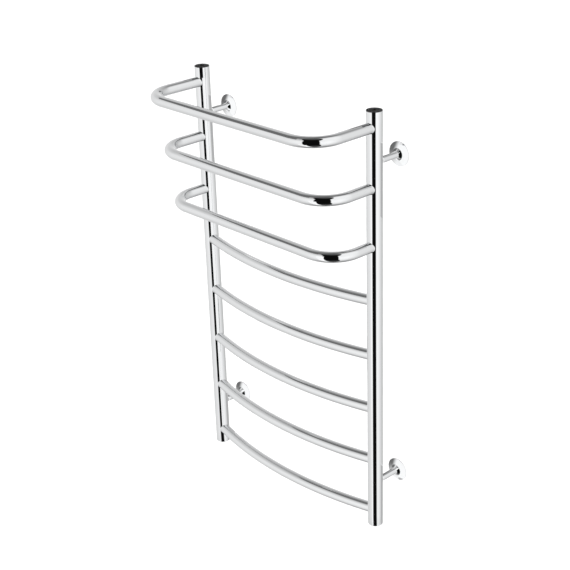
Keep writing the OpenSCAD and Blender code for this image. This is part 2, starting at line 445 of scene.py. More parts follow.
# %% Moulded black nylon


def moulded_nylon():
    """Black plastic with a half-gloss, faintly uneven skin."""
    material, tree = new_material("moulded_black_nylon")
    place_on = add(tree, "ShaderNodeTexCoord").outputs["Object"]
    fibre = add(tree, "ShaderNodeTexNoise", Vector=place_on, Scale=1 / (0.8 * MM), Detail=3.0)
    rough = add(
        tree, "ShaderNodeMapRange", Value=fibre.outputs["Fac"], From_Min=0.3, From_Max=0.7, To_Min=0.2, To_Max=0.32
    )
    bump = add(tree, "ShaderNodeBump", Height=fibre.outputs["Fac"], Strength=0.3, Distance=0.01 * MM)
    skin = add(
        tree,
        "ShaderNodeBsdfPrincipled",
        Base_Color=colour("#131314"),
        Roughness=rough.outputs["Result"],
        IOR=1.53,
        Normal=bump.outputs["Normal"],
    )
    add(tree, "ShaderNodeOutputMaterial", Surface=skin.outputs["BSDF"])
    return material


NYLON = (moulded_nylon(), "black_nylon")
print("finish:", NYLON[0].name)

# %% [markdown]
# ## Posts
#
# Each post is a 32 mm tube with 2 mm walls. Its rims are deburred, so the corners are rounded by half a
# millimetre. Its profile runs up the outside, over the rim, down the bore and back.

# %% Posts
RIM_ROUND = 0.5


def post_profile():
    """Outside wall, top rim, bore and bottom rim of a post, as (radius, height)."""
    top, low = HALF_HEIGHT, -HALF_HEIGHT
    edge = POST_R - RIM_ROUND
    outside = np.column_stack([np.full(40, POST_R), np.linspace(low + RIM_ROUND, top - RIM_ROUND, 40)])
    bore = np.column_stack([np.full(12, POST_BORE_R), np.linspace(top, low, 12)])
    return np.concatenate(
        [
            outside,
            corner((edge, top - RIM_ROUND), RIM_ROUND, 0, 90)[1:],
            bore,
            corner((edge, low + RIM_ROUND), RIM_ROUND, -90, 0)[:-1],
        ]
    )


for side, way in SIDES.items():
    axis_foot = (way * HALF_SPACING, POST_Y, 0)
    place("post_" + side, mesh_of("post", turned(post_profile(), axis_foot, around=160)), POLISHED)
print("post quads:", made["post_left"])

# %% [markdown]
# ## Tubes that end on a post
#
# A rung is a ring of points carried along a path. Its two ends are the interesting part: the tube is cut to
# the shape of the post it meets, and a small weld bead, ground smooth, leads from one to the other.
#
# A ring that slides along the path until every one of its points is at the same distance from the post's axis
# has exactly that cut shape. A few such rings, each a little nearer the post and a little wider, draw the
# bead as a hollow quarter round.

# %% Rings, cut ends and weld beads
RING = 96
WELD = 0.45
SUNK = 0.1  # the bead starts this far inside the post's wall, so that no gap can show


def rings(path, heading, radius, around=RING):
    """Upright rings on a level path: P + r (cos t side + sin t up), where side is level and square to the heading."""
    t = np.arange(around) / around * TURN
    side = np.column_stack([-heading[:, 1], heading[:, 0], np.zeros(len(heading))])
    spoke = np.cos(t)[None, :, None] * side[:, None] + np.sin(t)[None, :, None] * UP
    return path[:, None] + np.reshape(radius, (-1, 1, 1)) * spoke


def cut_rings(start, heading, outward, post, radius, distance, around=RING):
    """Rings slid along a straight line until each point is at its distance from the post's axis.
    With q the point's place seen from the post, b = q . d and c = |q|^2 - distance^2, the slide is -b + sqrt(b^2 - c).
    heading sets the ring's sides, as in rings(), and outward is the direction d away from the post."""
    count = len(radius)
    ring = rings(np.repeat(start[None], count, 0), np.repeat(heading[None], count, 0), radius, around)
    q = (ring - post)[..., :2]
    b = q @ outward[:2]
    c = (q**2).sum(-1) - np.asarray(distance)[:, None] ** 2
    return ring + (-b + np.sqrt(b**2 - c))[..., None] * outward


def bead(tube_r, weld, steps=7):
    """Radius and distance from the post's axis of each ring of the bead, from the post outwards:
    a hollow quarter round, r = tube + weld (1 - sin a) and distance = post + weld (1 - cos a)."""
    a = np.radians(np.linspace(0, 90, steps))
    radius = tube_r + weld * (1 - np.sin(a))
    distance = POST_R + weld * (1 - np.cos(a))
    return np.append(tube_r + weld, radius), np.append(POST_R - SUNK, distance)


def rung(path, heading):
    """Closed grid of a hollow rung between the two posts, for a path that starts and ends clear of them."""
    near = np.array([-HALF_SPACING, POST_Y, path[0, 2]])
    far = np.array([HALF_SPACING, POST_Y, path[-1, 2]])
    radius, distance = bead(RUNG_R, WELD)
    bore, sunk = np.array([RUNG_BORE_R]), np.array([POST_R - SUNK])
    first, last = (path[0], heading[0], heading[0], near), (path[-1], heading[-1], -heading[-1], far)
    thin = slice(None, None, -2)
    return np.concatenate(
        [
            cut_rings(*first, radius, distance),
            rings(path, heading, np.full(len(path), RUNG_R)),
            cut_rings(*last, radius, distance)[::-1],
            cut_rings(*last, bore, sunk),
            rings(path[thin], heading[thin], np.full(len(path[thin]), RUNG_BORE_R)),
            cut_rings(*first, bore, sunk),
        ]
    )


# %% [markdown]
# ## Bowed rungs
#
# Five rungs are gentle arcs. The circle through both post axes and a middle point 36 mm in front of them has
# a radius of (250^2 + 36^2) / (2 x 36), nearly 900 mm.

# %% Bowed rungs
BOW_DEPTH = 36.0
BOW_HEIGHTS = [35.0 + 122.0 * n for n in range(5)]
CLEAR = 18.5  # the plain rings start this far from a post's axis
BOW_STEP = 0.4


def bow_path(height):
    """Points and headings on the arc: centre + R (sin a, -cos a), with heading (cos a, sin a)."""
    radius = (HALF_SPACING**2 + BOW_DEPTH**2) / (2 * BOW_DEPTH)
    reach = math.degrees(math.asin(HALF_SPACING / radius) - CLEAR / radius)
    a = np.radians(np.linspace(-reach, reach, int(2 * reach / BOW_STEP)))
    centre_y = POST_Y - BOW_DEPTH + radius
    path = np.column_stack([radius * np.sin(a), centre_y - radius * np.cos(a), np.full(len(a), height)])
    return path, np.column_stack([np.cos(a), np.sin(a), np.zeros(len(a))])


for number, above_foot in enumerate(reversed(BOW_HEIGHTS), 1):
    grid = rung(*bow_path(above_foot - HALF_HEIGHT))
    place(f"bow_rung_{number}", mesh_of("bow", grid), POLISHED)
print("bow quads:", made["bow_rung_1"])

# %% [markdown]
# ## Shelf rungs
#
# The three upper rungs leave the posts straight to the front, turn through a bend of 62 mm radius and cross to
# the other side. Each reaches further out than the one below, so that towels hang clear of one another.

# %% Shelf rungs
BEND_R = 62.0
BEND_STEP = 2.5
SHELVES = {"bottom": (642.0, 114.0), "middle": (762.0, 132.0), "top": (882.0, 158.0)}


def shelf_path(height, depth):
    """Left leg, left bend and half of the front bar, then the same mirrored. A bend's points are
    centre - R (cos a, sin a) with heading (sin a, -cos a), for a from 0 to 90 degrees."""
    leg_y = np.linspace(POST_Y - CLEAR, POST_Y - depth + BEND_R, 8)[:-1]
    leg = np.column_stack([np.full(7, -HALF_SPACING), leg_y])
    a = np.radians(np.linspace(0, 90, int(90 / BEND_STEP) + 1))
    centre = np.array([-HALF_SPACING + BEND_R, POST_Y - depth + BEND_R])
    bend = centre - BEND_R * np.column_stack([np.cos(a), np.sin(a)])
    turn = np.column_stack([np.sin(a), -np.cos(a)])
    bar_x = np.linspace(centre[0], 0, 12)[1:]
    bar = np.column_stack([bar_x, np.full(11, POST_Y - depth)])
    half = np.concatenate([leg, bend, bar])
    way = np.concatenate([np.tile([0.0, -1.0], (7, 1)), turn, np.tile([1.0, 0.0], (11, 1))])
    plan = np.concatenate([half, half[-2::-1] * [-1, 1]])
    heading = np.concatenate([way, way[-2::-1] * [1, -1]])
    return (
        np.column_stack([plan, np.full(len(plan), height)]),
        np.column_stack([heading, np.zeros(len(plan))]),
    )


for name, (above_foot, depth) in SHELVES.items():
    grid = rung(*shelf_path(above_foot - HALF_HEIGHT, depth))
    place("shelf_rung_" + name, mesh_of("shelf", grid), POLISHED)
print("shelf quads:", made["shelf_rung_top"])

# %% [markdown]
# ## Sleeves and grub screws
#
# A sleeve is a short 13 mm tube, welded to the back of its post in the same way as a rung. It slides over a
# spigot on the wall, and a small socket screw underneath locks it. The sleeve is drilled for that screw, and
# the screw has a hexagon socket, so both are cut with a Boolean.

# %% Sleeves and grub screws
SLEEVE_R, SLEEVE_BORE_R = 6.5, 5.0
SLEEVE_END_Y = -3.5
SLEEVE_WELD = 0.4
SCREW_Y = -38.0
SCREW_R, SCREW_PROUD, SOCKET_R = 2.0, 0.4, 1.15
SPIGOT_R = 4.95
BACK = np.array([0.0, 1.0, 0.0])


def sleeve_grid(post):
    """Outside from the weld to the wall end, a rounded lip, and the bore back to the post."""
    ys = np.append(np.linspace(POST_Y + CLEAR, SLEEVE_END_Y - 0.4, 16), SLEEVE_END_Y - 0.4)
    lip = corner((SLEEVE_R - 0.4, SLEEVE_END_Y - 0.4), 0.4, 0, 90)
    inner = np.linspace(SLEEVE_END_Y, POST_Y + CLEAR, 10)
    radius = np.concatenate([np.full(16, SLEEVE_R), lip[1:, 0], np.full(10, SLEEVE_BORE_R)])
    y = np.concatenate([ys[:16], lip[1:, 1], inner])
    path = np.column_stack([np.full(len(y), post[0]), y, np.full(len(y), post[2])])
    heading = np.tile(BACK, (len(y), 1))
    start = np.array([post[0], POST_Y + CLEAR, post[2]])
    wide, distance = bead(SLEEVE_R, SLEEVE_WELD)
    outside_end = cut_rings(start, BACK, BACK, post, wide, distance, 64)
    bore_end = cut_rings(start, BACK, BACK, post, np.array([SLEEVE_BORE_R]), np.array([POST_R - SUNK]), 64)
    return np.concatenate([outside_end, rings(path, heading, radius, 64), bore_end])


def screw_profile(foot, head):
    """A grub screw with a flat foot and both edges bevelled by 0.3 mm, from axis to axis."""
    bevel = 0.3
    return [
        (0, foot),
        (SCREW_R - bevel, foot),
        (SCREW_R, foot + bevel),
        (SCREW_R, head - bevel),
        (SCREW_R - bevel, head),
        (0, head),
    ]


def rod(radius, low, high):
    """Profile of a plain solid rod, used as a cutter."""
    return [(0, low), (radius, low), (radius, high), (0, high)]


for level, rise in LEVELS.items():
    for side, way in SIDES.items():
        post = np.array([way * HALF_SPACING, POST_Y, rise * BRACKET_Z])
        under = (post[0], SCREW_Y, post[2])
        down = (0, 0, -1)
        drill = mesh_of("drill", turned(rod(SCREW_R, 2.0, 9.0), under, down, 48), wrap=False)
        sleeve = cut_away(mesh_of("sleeve", sleeve_grid(post)), [drill])
        place(f"sleeve_{level}_{side}", sleeve, POLISHED)

        head = SLEEVE_R + SCREW_PROUD
        body = mesh_of("grub", turned(screw_profile(SPIGOT_R + 0.3, head), under, down, 48), wrap=False)
        key = mesh_of("key", turned(rod(SOCKET_R, head - 1.6, head + 1.0), under, down, 6), wrap=False)
        place(f"grub_screw_{level}_{side}", cut_away(body, [key]), TURNED)
print("sleeve faces:", made["sleeve_upper_left"], " screw faces:", made["grub_screw_upper_left"])

# %% [markdown]
# ## Rosettes
#
# A rosette is a thin pressed cover. From its rim it rises in a shallow dome that levels off towards the middle,
# where a conical hub fits the sleeve. It isn't fastened: it slides forward on the sleeve to show the
# screw in the wall. The dome falls off as a power of the distance from the hub, a little over a straight cone.

# %% Rosettes
ROSETTE_R, ROSETTE_H, ROSETTE_BORE_R = 25.0, 11.0, 6.55
HUB_R, HUB_TOP_R, HUB_RISE, HUB_ROUND = 12.5, 7.6, 5.0, 0.4
RIM_H, SHELL = 1.6, 1.2
DOME_RISE = ROSETTE_H - HUB_RISE - RIM_H
DOME_POWER = 1.35


def dome(r):
    """Height of the dome at radius r: rim + rise (1 - u ^ power), with u = (r - hub) / (edge - hub)."""
    share = np.clip((r - HUB_R) / (ROSETTE_R - HUB_R), 0, 1)
    return RIM_H + DOME_RISE * (1 - share**DOME_POWER)


def rosette_profile():
    """Rim, dome, conical hub, bore, and the hollow back, as (radius, height)."""
    edge = 0.25
    out = np.linspace(ROSETTE_R, HUB_R, 28)
    foot, top = (HUB_R, ROSETTE_H - HUB_RISE), (HUB_TOP_R, ROSETTE_H - HUB_ROUND)
    cone = np.linspace(foot, top, 8)[1:-1]
    shoulder = corner((HUB_TOP_R - HUB_ROUND, ROSETTE_H - HUB_ROUND), HUB_ROUND, 0, 90, 6)
    lip = corner((ROSETTE_BORE_R + 0.3, ROSETTE_H - 0.3), 0.3, 90, 180)
    back = np.linspace(HUB_R, ROSETTE_R - SHELL, 16)
    hub_foot = ROSETTE_H - HUB_RISE - SHELL
    return np.concatenate(
        [
            corner((ROSETTE_R - edge, edge), edge, -90, 0, 4),
            np.column_stack([out, dome(out)]),
            cone,
            shoulder,
            lip,
            [(ROSETTE_BORE_R, hub_foot)],
            np.column_stack([back, dome(back + SHELL / 2) - SHELL]),
            [(ROSETTE_R - SHELL, 0.0)],
        ]
    )


FRONT = (0, -1, 0)
for level, rise in LEVELS.items():
    for side, way in SIDES.items():
        on_wall = (way * HALF_SPACING, 0, rise * BRACKET_Z)
        grid = turned(rosette_profile(), on_wall, FRONT, 160)
        place(f"rosette_{level}_{side}", mesh_of("rosette", grid), POLISHED)
print("rosette quads:", made["rosette_upper_left"])

# %% [markdown]
# ## Screw threads
#
# A thread is a groove that climbs one pitch for each turn. On a grid that is one formula: the radius swings
# between the thread's root and crest as height / pitch - angle / turn goes from one whole number to the next.
# The thread fades out near each end, as the lead-in of a real one does.


# %% A threaded wall
def threaded(foot, axis, core, depth, pitch, low, high, around=96, per_pitch=10):
    """Rings of a thread from low to high: r = core + depth (1 - cos(2 pi (h / pitch - t / turn))) / 2 x fade,
    where fade rises from 0 at each end to 1 over one pitch. core is the thread's smaller radius."""
    count = int(abs(high - low) / pitch * per_pitch) + 1
    h = np.linspace(low, high, count)[:, None]
    t = np.arange(around)[None] / around
    end = np.minimum(h - min(low, high), max(low, high) - h) / pitch
    swing = (1 - np.cos(TURN * (h / pitch - t))) / 2
    r = core + depth * swing * np.clip(end, 0, 1)
    first, second = frame_along(axis)
    spoke = np.cos(TURN * t)[..., None] * first + np.sin(TURN * t)[..., None] * second
    return np.asarray(foot, float) + r[..., None] * spoke + h[..., None] * np.asarray(axis, float)


PIPE_PITCH, PIPE_CORE, PIPE_DEPTH = 1.814, 9.3, 1.1
BOLT_PITCH, BOLT_CORE, BOLT_DEPTH = 1.25, 3.4, 0.55

# %% [markdown]
# ## Water connections
#
# A threaded ring is welded inside the foot of each post, half a millimetre up. Its half-inch pipe thread has
# 14 turns to the inch, so its pitch is 1.814 mm. Only someone who looks up into the post sees it.

# %% Water connections
LOW_END = -HALF_HEIGHT + 0.5
CONNECTION_H = 15.0

for side, way in SIDES.items():
    foot = (way * HALF_SPACING, POST_Y, LOW_END)
    ring_wall = turned([(PIPE_CORE + 1, 0), (POST_BORE_R, 0), (POST_BORE_R, CONNECTION_H), (PIPE_CORE, CONNECTION_H)], foot, around=96)
    bore = threaded(foot, (0, 0, 1), PIPE_CORE, PIPE_DEPTH, PIPE_PITCH, CONNECTION_H, 1.0)
    place("connection_" + side, mesh_of("connection", np.concatenate([ring_wall, bore])), TURNED)
print("connection quads:", made["connection_left"])

# %% [markdown]
# ## Air vents
#
# The top of each post is closed by a screwed plug of black nylon, whose lip covers the rim. Under its flange
# lies a rubber ring on a threaded bush. Two small holes take a pin spanner, and in a well in the middle a
# slotted brass screw lets trapped air out.

# %% Air vents
LIP_FOOT = HALF_HEIGHT + 0.1
LIP_H, LIP_R, LIP_ROUND = 0.9, 15.8, 0.4
VENT_TOP = LIP_FOOT + LIP_H
FLANGE_R = 13.7
FLANGE_FOOT = HALF_HEIGHT - 4.8
GASKET_H = 1.5
BUSH_TOP = FLANGE_FOOT - GASKET_H
BUSH_H = 14.0
PLUG_THREAD_H = 11.0
WELL_R, WELL_H = 4.2, 4.0
SHANK_R, SHANK_BORE_R, DRIP_R = 2.5, 2.55, 1.0
SEAT_H = 2.5
SPANNER_AT, SPANNER_R, SPANNER_H = 9.0, 1.0, 2.0


def bush(foot):
    """Threaded ring, whose top is level with the foot of the sealing ring."""
    wall = turned([(PIPE_CORE, BUSH_TOP - BUSH_H), (POST_BORE_R, BUSH_TOP - BUSH_H), (POST_BORE_R, BUSH_TOP), (PIPE_CORE, BUSH_TOP)], foot, around=96)
    bore = threaded(foot, (0, 0, 1), PIPE_CORE, PIPE_DEPTH, PIPE_PITCH, BUSH_TOP, BUSH_TOP - BUSH_H)
    return np.concatenate([wall, bore])


def gasket_profile():
    """A flat ring with rounded edges, as a moulded one has."""
    inner, outer, round_r = PIPE_CORE + 0.3, FLANGE_R - 0.3, 0.5
    low, high = BUSH_TOP, FLANGE_FOOT
    corners = (
        ((outer - round_r, low + round_r), -90),
        ((outer - round_r, high - round_r), 0),
        ((inner + round_r, high - round_r), 90),
        ((inner + round_r, low + round_r), 180),
    )
    return np.concatenate([corner(at, round_r, a, a + 90) for at, a in corners])


def plug(foot):
    """Lip, flange, well and bore of the plug, with a thread below the flange."""
    screw_foot = FLANGE_FOOT - PLUG_THREAD_H
    seat = screw_foot + SEAT_H
    lip = corner((LIP_R - LIP_ROUND, VENT_TOP - LIP_ROUND), LIP_ROUND, 0, 90, 8)
    inside = [(WELL_R + 0.2, VENT_TOP), (WELL_R, VENT_TOP - 0.2), (WELL_R, VENT_TOP - WELL_H)]
    inside += [(SHANK_BORE_R, VENT_TOP - WELL_H), (SHANK_BORE_R, seat), (DRIP_R, seat), (DRIP_R, screw_foot)]
    upper = [(PIPE_CORE, FLANGE_FOOT), (FLANGE_R, FLANGE_FOOT), (FLANGE_R, LIP_FOOT), (LIP_R, LIP_FOOT)]
    shell = turned(np.concatenate([upper, lip, inside]), foot, around=96)
    thread = threaded(foot, (0, 0, 1), PIPE_CORE, PIPE_DEPTH - 0.1, PIPE_PITCH, screw_foot, FLANGE_FOOT)
    return np.concatenate([shell, thread])


for side, way in SIDES.items():
    foot = np.array([way * HALF_SPACING, POST_Y, 0.0])
    place("vent_bush_" + side, mesh_of("bush", bush(foot)), TURNED)
    place("vent_gasket_" + side, mesh_of("gasket", turned(gasket_profile(), foot, around=96)), RUBBER)
    holes = [
        mesh_of("pin", turned(rod(SPANNER_R, VENT_TOP - SPANNER_H, VENT_TOP + 1), foot + (hand * SPANNER_AT, 0, 0), around=32), wrap=False)
        for hand in (-1, 1)
    ]
    place("vent_plug_" + side, cut_away(mesh_of("plug", plug(foot)), holes), NYLON)
print("plug faces:", made["vent_plug_left"])

# %% [markdown]
# ## Bleed screws
#
# A cheese-head screw with a conical tip, turned from brass and then slotted.

# %% Bleed screws
HEAD_R, HEAD_H = 3.8, 2.4
SLOT_W, SLOT_H = 1.2, 1.3
TIP_R, TIP_H = 1.2, 2.0


def bleed_profile():
    """Cone, shank and a head with a rounded edge, from axis to axis."""
    head_foot = VENT_TOP - WELL_H + 0.3
    tip = FLANGE_FOOT - PLUG_THREAD_H + SEAT_H + 0.3
    top = head_foot + HEAD_H
    return np.concatenate(
        [
            [(0, tip), (TIP_R, tip), (SHANK_R, tip + TIP_H), (SHANK_R, head_foot), (HEAD_R, head_foot)],
            corner((HEAD_R - 0.4, top - 0.4), 0.4, 0, 90),
            [(0, top)],
        ]
    )


def block(centre, size):
    """A box as a grid: two square rings, each closed to a point. Used as a cutter."""
    x, y, z = np.asarray(size) / 2
    square = np.array([(-x, -y), (x, -y), (x, y), (-x, y)])
    levels = [(0, -z), (1, -z), (1, z), (0, z)]
    return np.array([np.column_stack([square * wide, np.full(4, h)]) for wide, h in levels]) + centre


for side, way in SIDES.items():
    foot = np.array([way * HALF_SPACING, POST_Y, 0.0])
    head_top = VENT_TOP - WELL_H + 0.3 + HEAD_H
    blank = mesh_of("bleed", turned(bleed_profile(), foot, around=96), wrap=False)
    saw = mesh_of("saw", block(foot + (0, 0, head_top), (4 * HEAD_R, SLOT_W, 2 * SLOT_H)), wrap=False)
    place("bleed_screw_" + side, cut_away(blank, [saw]), BRASS)
print("bleed screw faces:", made["bleed_screw_left"])

# %% [markdown]
# ## Wall bases
#
# A disc lies flat on the wall under each rosette, and a spigot stands out of it. Both are turned from one
# piece, and an M8 thread runs through them for the bolt that comes out of the wall.

# %% Wall bases
BASE_R, BASE_H = 17.0, 2.5
SPIGOT_H = 52.0
BASE_BEVEL = 0.3


def base(foot):
    """Disc and spigot with small bevels, then the threaded bore back to the wall."""
    profile = [
        (BOLT_CORE + 0.5, 0),
        (BASE_R - BASE_BEVEL, 0),
        (BASE_R, BASE_BEVEL),
        (BASE_R, BASE_H - BASE_BEVEL),
        (BASE_R - BASE_BEVEL, BASE_H),
        (SPIGOT_R, BASE_H),
        (SPIGOT_R, SPIGOT_H - 0.5),
        (SPIGOT_R - 0.5, SPIGOT_H),
        (BOLT_CORE, SPIGOT_H),
    ]
    bore = threaded(foot, FRONT, BOLT_CORE, BOLT_DEPTH, BOLT_PITCH, SPIGOT_H, 0.5, around=64, per_pitch=8)
    return np.concatenate([turned(profile, foot, FRONT, 64), bore])


for level, rise in LEVELS.items():
    for side, way in SIDES.items():
        grid = base((way * HALF_SPACING, 0, rise * BRACKET_Z))
        place(f"wall_base_{level}_{side}", mesh_of("base", grid), TURNED)
print("wall base quads:", made["wall_base_upper_left"])
print("pieces:", len(made), "of", len(frame["nodes"]), " faces:", sum(made.values()))

# %% [markdown]
# ## The studio
#
# Polished metal has no look of its own: it shows the room. A product studio for such a piece is a white tent
# with one dark gap at the front, where the camera stands. On the posts the gap shows as a black
# stripe, and the white walls on both sides of it as broad bright bands.
#
# The room is described by direction, seen from the rack: the azimuth runs from the front (0) to the right
# (90), and the height is the angle above the horizon. Four numbers say how bright the tent's four sides are,
# and six say how much of that light is left from floor to ceiling. Their product is the tent. A soft round
# lamp hangs high on the right. The rack sees this room; the camera sees plain white.

# %% The tent and its lamp
ROOM = bpy.data.worlds.new("white_tent")
bpy.context.scene.world = ROOM
ROOM.use_nodes = True
room = ROOM.node_tree
room.nodes.clear()

# the tone that polished steel shows, as a screen value, opposite each side of the tent
SIDE_TONES = {-180: 185, -90: 215, 0: 240, 90: 250, 180: 185}
# the tone that white would show at each height, from the floor to the ceiling
HEIGHT_TONES = {-75: 165, -45: 235, -15: 255, 15: 255, 40: 225, 65: 130}
LAMP_AZIMUTH, LAMP_HEIGHT, LAMP_TONE = 105.0, 45.0, 240
LAMP_CORE, LAMP_EDGE = 12.0, 45.0
STEEL = colour(STEEL_TONE)[0]
RANGE, MIX, MATHS = "ShaderNodeMapRange", "ShaderNodeMix", "ShaderNodeMath"
IN_COLOUR, TIMES = {"data_type": "RGBA"}, {"data_type": "RGBA", "blend_type": "MULTIPLY"}
SOFT = {"interpolation_type": "SMOOTHSTEP"}


def grey(tone):
    """Light that polished steel turns into this screen tone: the linear value divided by the steel's own."""
    return (linear(tone / 255) / STEEL,) * 3 + (1.0,)


def ramp(value, low, high, stops):
    """A colour ramp of an angle that runs from low to high degrees, with a colour at each marked angle."""
    share = add(room, RANGE, Value=value, From_Min=low, From_Max=high).outputs["Result"]
    new = add(room, "ShaderNodeValToRGB", Fac=share)
    for index, (at, tint) in enumerate(stops.items()):
        stop = new.color_ramp.elements[index] if index < 2 else new.color_ramp.elements.new(1.0)
        stop.position, stop.color = (at - low) / (high - low), tint
    return new.outputs["Color"]


def maths(operation, first, second=0.0, third=0.0):
    """One arithmetic step between two outputs or numbers."""
    return add(room, "ShaderNodeMath", {"operation": operation}, in0=first, in1=second, in2=third).outputs[0]


def step(value, low, high, kind="LINEAR"):
    """An output that goes from 0 at low to 1 at high."""
    chosen = {"interpolation_type": kind}
    return add(room, "ShaderNodeMapRange", chosen, Value=value, From_Min=low, From_Max=high).outputs["Result"]


def blend(factor, first, second):
    """Mix of two colours: first x (1 - factor) + second x factor."""
    return add(room, "ShaderNodeMix", {"data_type": "RGBA"}, Factor=factor, in6=first, in7=second).outputs[2]


direction = add(room, "ShaderNodeTexCoord").outputs["Generated"]
split = add(room, "ShaderNodeSeparateXYZ", Vector=direction).outputs
forward = add(room, MATHS, {"operation": "MULTIPLY"}, in0=split["Y"], in1=-1.0).outputs[0]
around = add(room, MATHS, {"operation": "ARCTAN2"}, in0=split["X"], in1=forward).outputs[0]
azimuth = add(room, MATHS, {"operation": "DEGREES"}, in0=around).outputs[0]
above_level = add(room, MATHS, {"operation": "ARCSINE"}, in0=split["Z"]).outputs[0]
height = add(room, MATHS, {"operation": "DEGREES"}, in0=above_level).outputs[0]

walls = ramp(azimuth, -180.0, 180.0, {at: grey(tone) for at, tone in SIDE_TONES.items()})
fall = ramp(height, -90.0, 90.0, {at: (linear(tone / 255),) * 3 + (1.0,) for at, tone in HEIGHT_TONES.items()})
tent = add(room, MIX, TIMES, Factor=1.0, in6=walls, in7=fall).outputs[2]

turn, climb = math.radians(LAMP_AZIMUTH), math.radians(LAMP_HEIGHT)
to_lamp = (math.sin(turn) * math.cos(climb), -math.cos(turn) * math.cos(climb), math.sin(climb))
facing = add(room, "ShaderNodeVectorMath", {"operation": "DOT_PRODUCT"}, in0=direction, in1=to_lamp)
near = {"From_Min": math.cos(math.radians(LAMP_EDGE)), "From_Max": math.cos(math.radians(LAMP_CORE))}
lit = add(room, RANGE, SOFT, Value=facing.outputs["Value"], **near).outputs["Result"]
tent = add(room, MIX, IN_COLOUR, Factor=lit, in6=tent, in7=grey(LAMP_TONE)).outputs[2]
print("sides and heights of the tent:", len(SIDE_TONES) - 1, "and", len(HEIGHT_TONES))

# %% [markdown]
# The gap's two edges are soft steps in azimuth. Low down, where the gap meets the floor, its right edge moves
# outwards, and high up it widens on both sides. It is black at the height of the camera, and paler where it
# ends in the ceiling and the floor.

# %% The dark gap
GAP_LEFT, GAP_RIGHT = 9.5, 61.0
GAP_EDGE = 1.6
GAP_TONE, GAP_CEILING_TONE, GAP_FLOOR_TONE = 12, 78, 70
LOW_FROM, LOW_SPREAD = 25.0, 0.35
HIGH_FROM, HIGH_SPREAD = 40.0, 1.1

below = maths("MAXIMUM", maths("MULTIPLY_ADD", height, -1.0, -LOW_FROM), 0.0)
above = maths("MAXIMUM", maths("SUBTRACT", height, HIGH_FROM), 0.0)
wider = maths("MULTIPLY", above, HIGH_SPREAD)
from_left = maths("ADD", maths("SUBTRACT", azimuth, GAP_LEFT), wider)
to_right = maths("ADD", maths("SUBTRACT", GAP_RIGHT, azimuth), maths("MULTIPLY_ADD", below, LOW_SPREAD, wider))
inside = maths(
    "MULTIPLY", step(from_left, -GAP_EDGE, GAP_EDGE, "SMOOTHSTEP"), step(to_right, -GAP_EDGE, GAP_EDGE, "SMOOTHSTEP")
)
gap = blend(step(height, 56.0, 76.0), grey(GAP_TONE), grey(GAP_CEILING_TONE))
gap = blend(step(height, -48.0, -60.0), gap, grey(GAP_FLOOR_TONE))
mirrored = blend(inside, tent, gap)
straight = add(room, "ShaderNodeLightPath").outputs["Is Camera Ray"]
seen = blend(straight, mirrored, (1.0, 1.0, 1.0, 1.0))
shine = add(room, "ShaderNodeBackground", Color=seen, Strength=1.0)
add(room, "ShaderNodeOutputWorld", Surface=shine.outputs["Background"])
print("gap from", GAP_LEFT, "to", GAP_RIGHT, "degrees")

# %% [markdown]
# ## Flags
#
# Cards, called flags, hang just out of view. Each glows with a set tone and only reflections show it, so it lights
# nothing: every flag is a painted reflection. A dark one above the front of the rack draws the thin dark lines,
# a painted dark reflection, along the tops of the shelf rungs. A white one in front narrows the left post's black
# stripe. A small bent one stands beside each rosette and paints its dark upper left, a painted shade seen in the
# mirror. It is dark at the wall and fades towards the post and the floor, so that no hard edge is mirrored. A white
# shield with a grey backing keeps the post's mirror image off the rosette. A small black one behind the top of
# each post keeps the black plug dark with a painted dark reflection, seen flat as it is. The camera doesn't see the
# flags, and they cast no shadow.

# %% Flags
FLAG_DARK = 105


# flags glow only for reflections and light nothing: their tones are painted reflections and painted shade in the chrome
def flag_cloth(name, dark, light, fade):
    """Glow of a flag that only reflections show, a painted reflection: dark where u and v of its UV map are low, and
    light where either passes its fade range.
    """
    material, tree = new_material(name)
    place_on = add(tree, "ShaderNodeTexCoord").outputs["UV"]
    across = add(tree, "ShaderNodeSeparateXYZ", Vector=place_on).outputs
    kind = {"interpolation_type": "SMOOTHSTEP"}
    sides = [
        add(tree, "ShaderNodeMapRange", kind, Value=across[axis], From_Min=low, From_Max=high).outputs["Result"]
        for axis, (low, high) in zip("XY", fade)
    ]
    most = add(tree, "ShaderNodeMath", {"operation": "MAXIMUM"}, in0=sides[0], in1=sides[1])
    glow = add(
        tree, "ShaderNodeMix", {"data_type": "RGBA"}, Factor=most.outputs[0], in6=grey(dark), in7=grey(light)
    )
    light_out = add(tree, "ShaderNodeEmission", Color=glow.outputs[2], Strength=1.0)
    add(tree, "ShaderNodeOutputMaterial", Surface=light_out.outputs["Emission"])
    return material


def upright(plan, low, high):
    """The upper and the lower edge of a card that follows a line in plan."""
    return [[(x, y, edge) for x, y in plan] for edge in (high, low)]


def flag(name, edges, cloth):
    """A card between two edges with equally many points, which only reflections show.
    u runs along the edges and v runs from the first edge to the second, both from 0 to 1."""
    grid = np.array(edges, float)
    count = grid.shape[1]
    first = np.arange(count - 1)
    quads = np.column_stack([first, first + 1, first + 1 + count, first + count])
    u = np.tile(np.linspace(0, 1, count), 2)
    v = np.repeat([0.0, 1.0], count)
    card_mesh = bpy.data.meshes.new(name)
    card_mesh.from_pydata((grid.reshape(-1, 3) * MM).tolist(), [], quads.tolist())
    uv = np.column_stack([u, v])[quads.ravel()]
    card_mesh.uv_layers.new(name="surface").data.foreach_set("uv", uv.astype(np.float32).ravel())
    card_mesh.materials.append(cloth)
    card = bpy.data.objects.new(name, card_mesh)
    bpy.context.scene.collection.objects.link(card)
    card.visible_camera = card.visible_diffuse = card.visible_shadow = False
    return card


